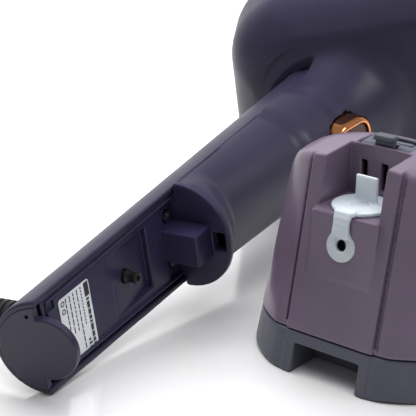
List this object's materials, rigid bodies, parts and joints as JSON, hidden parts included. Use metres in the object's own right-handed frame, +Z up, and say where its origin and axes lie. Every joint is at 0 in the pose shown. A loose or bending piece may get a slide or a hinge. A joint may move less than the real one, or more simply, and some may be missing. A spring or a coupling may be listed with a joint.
{
  "type": "garment steamer",
  "caption": "Handheld garment steamer lying on its side with a flat steam head, copper-rimmed trigger and mains cord, and its detached water tank standing beside it.",
  "frame": {"origin": "middle of the object's outline on the surface that it lies and stands on, without the cord", "axes": "+Y along the handle from its base to the steam head, +X from the handset towards the tank, +Z up"},
  "size_m": [0.3324, 0.297, 0.1146],
  "materials": {
    "violet_body": "fine matt texture",
    "bay_plastic": "matt",
    "tank_tint": "smoked translucent, smooth",
    "slate_plastic": "satin",
    "black_plastic": "satin",
    "copper_trim": "metallic paint",
    "brown_insert": "fine matt texture",
    "ivory_plastic": "satin",
    "red_plastic": "smooth",
    "cast_aluminium": "as cast",
    "plate_steel": "brushed",
    "steel": "bright",
    "spring_steel": "drawn",
    "element_metal": "dull oxide",
    "copper_winding": "enamelled wire",
    "board_green": "solder mask",
    "silicone": "soft translucent",
    "red_silicone": "soft",
    "cord_rubber": "satin",
    "label_film": "printed film"
  },
  "bodies": {
    "handset": {"rear_shell": "violet_body", "main_shell": "violet_body", "base_plate": "violet_body", "bay_plate": "bay_plastic", "bulkhead": "bay_plastic", "rating_label": "label_film", "inlet_probe": "black_plastic", "inlet_hose": "silicone", "pump_body": "ivory_plastic", "pump_coil": "copper_winding", "pump_spring": "spring_steel", "outlet_hose": "silicone", "circuit_board": "board_green", "switch_body": "black_plastic", "trigger_spring": "spring_steel", "steam_chamber": "cast_aluminium", "chamber_cover": "cast_aluminium", "chamber_gasket": "red_silicone", "heating_element": "element_metal", "thermostat": "ivory_plastic", "thermal_fuse": "steel", "heat_shield": "black_plastic", "plate_bezel": "black_plastic", "steam_plate": "plate_steel", "bay_screws": "steel", "handle_screws": "steel", "plate_screws": "steel", "strain_relief": "black_plastic", "cord_clamp": "ivory_plastic", "power_cord": "cord_rubber", "cord_coil": "cord_rubber", "cord_tie": "cord_rubber", "plug_lead": "cord_rubber", "plug_body": "black_plastic", "plug_pins": "steel"},
    "trigger": {"trigger_frame": "copper_trim", "trigger_insert": "brown_insert"},
    "switch_button": {"switch_button": "red_plastic"},
    "pump_plunger": {"pump_plunger": "steel"},
    "tank": {"tank_shell": "tank_tint", "tank_base": "slate_plastic", "tank_gasket": "silicone", "base_screws": "steel", "valve_seat": "slate_plastic", "valve_spring": "spring_steel", "suction_tube": "silicone", "suction_weight": "steel", "latch_plate": "slate_plastic", "latch_spring": "spring_steel", "stopper_strap": "silicone"},
    "latch": {"latch_hook": "slate_plastic"},
    "valve": {"valve_poppet": "silicone"},
    "stopper": {"stopper": "silicone"}
  },
  "joints": [
    {"name": "trigger_press", "type": "slide", "parent": "handset", "child": "trigger", "axis": [-0.9804, 0.1961, -0.0209], "range_m": [0, 0.003], "stiffness_N_per_m": 900, "springref_m": -0.002, "deforming": ["trigger_spring"]},
    {"name": "switch_press", "type": "slide", "parent": "handset", "child": "switch_button", "axis": [-0.9804, 0.1961, -0.0209], "range_m": [0, 0.003]},
    {"name": "pump_stroke", "type": "slide", "parent": "handset", "child": "pump_plunger", "axis": [0, 0.989, 0.1478], "range_m": [0, 0.002], "stiffness_N_per_m": 500, "springref_m": -0.001, "deforming": ["pump_spring"]},
    {"name": "tank_lift", "type": "slide", "parent": "handset", "child": "tank", "axis": [0, 0, 1], "range_m": [0, 0.12]},
    {"name": "latch_release", "type": "slide", "parent": "tank", "child": "latch", "axis": [0.1478, 0.989, 0], "range_m": [0, 0.0012], "stiffness_N_per_m": 800, "springref_m": -0.002, "deforming": ["latch_spring"]},
    {"name": "valve_open", "type": "slide", "parent": "tank", "child": "valve", "axis": [0.1443, 0.9656, -0.2164], "range_m": [0, 0.002], "stiffness_N_per_m": 200, "springref_m": -0.002, "deforming": ["valve_spring"]},
    {"name": "stopper_pull", "type": "slide", "parent": "tank", "child": "stopper", "axis": [0, 0, 1], "range_m": [0, 0.012]}
  ],
  "couplings": [
    {"joint": "switch_press", "follows": "trigger_press", "ratio": 1}
  ]
}
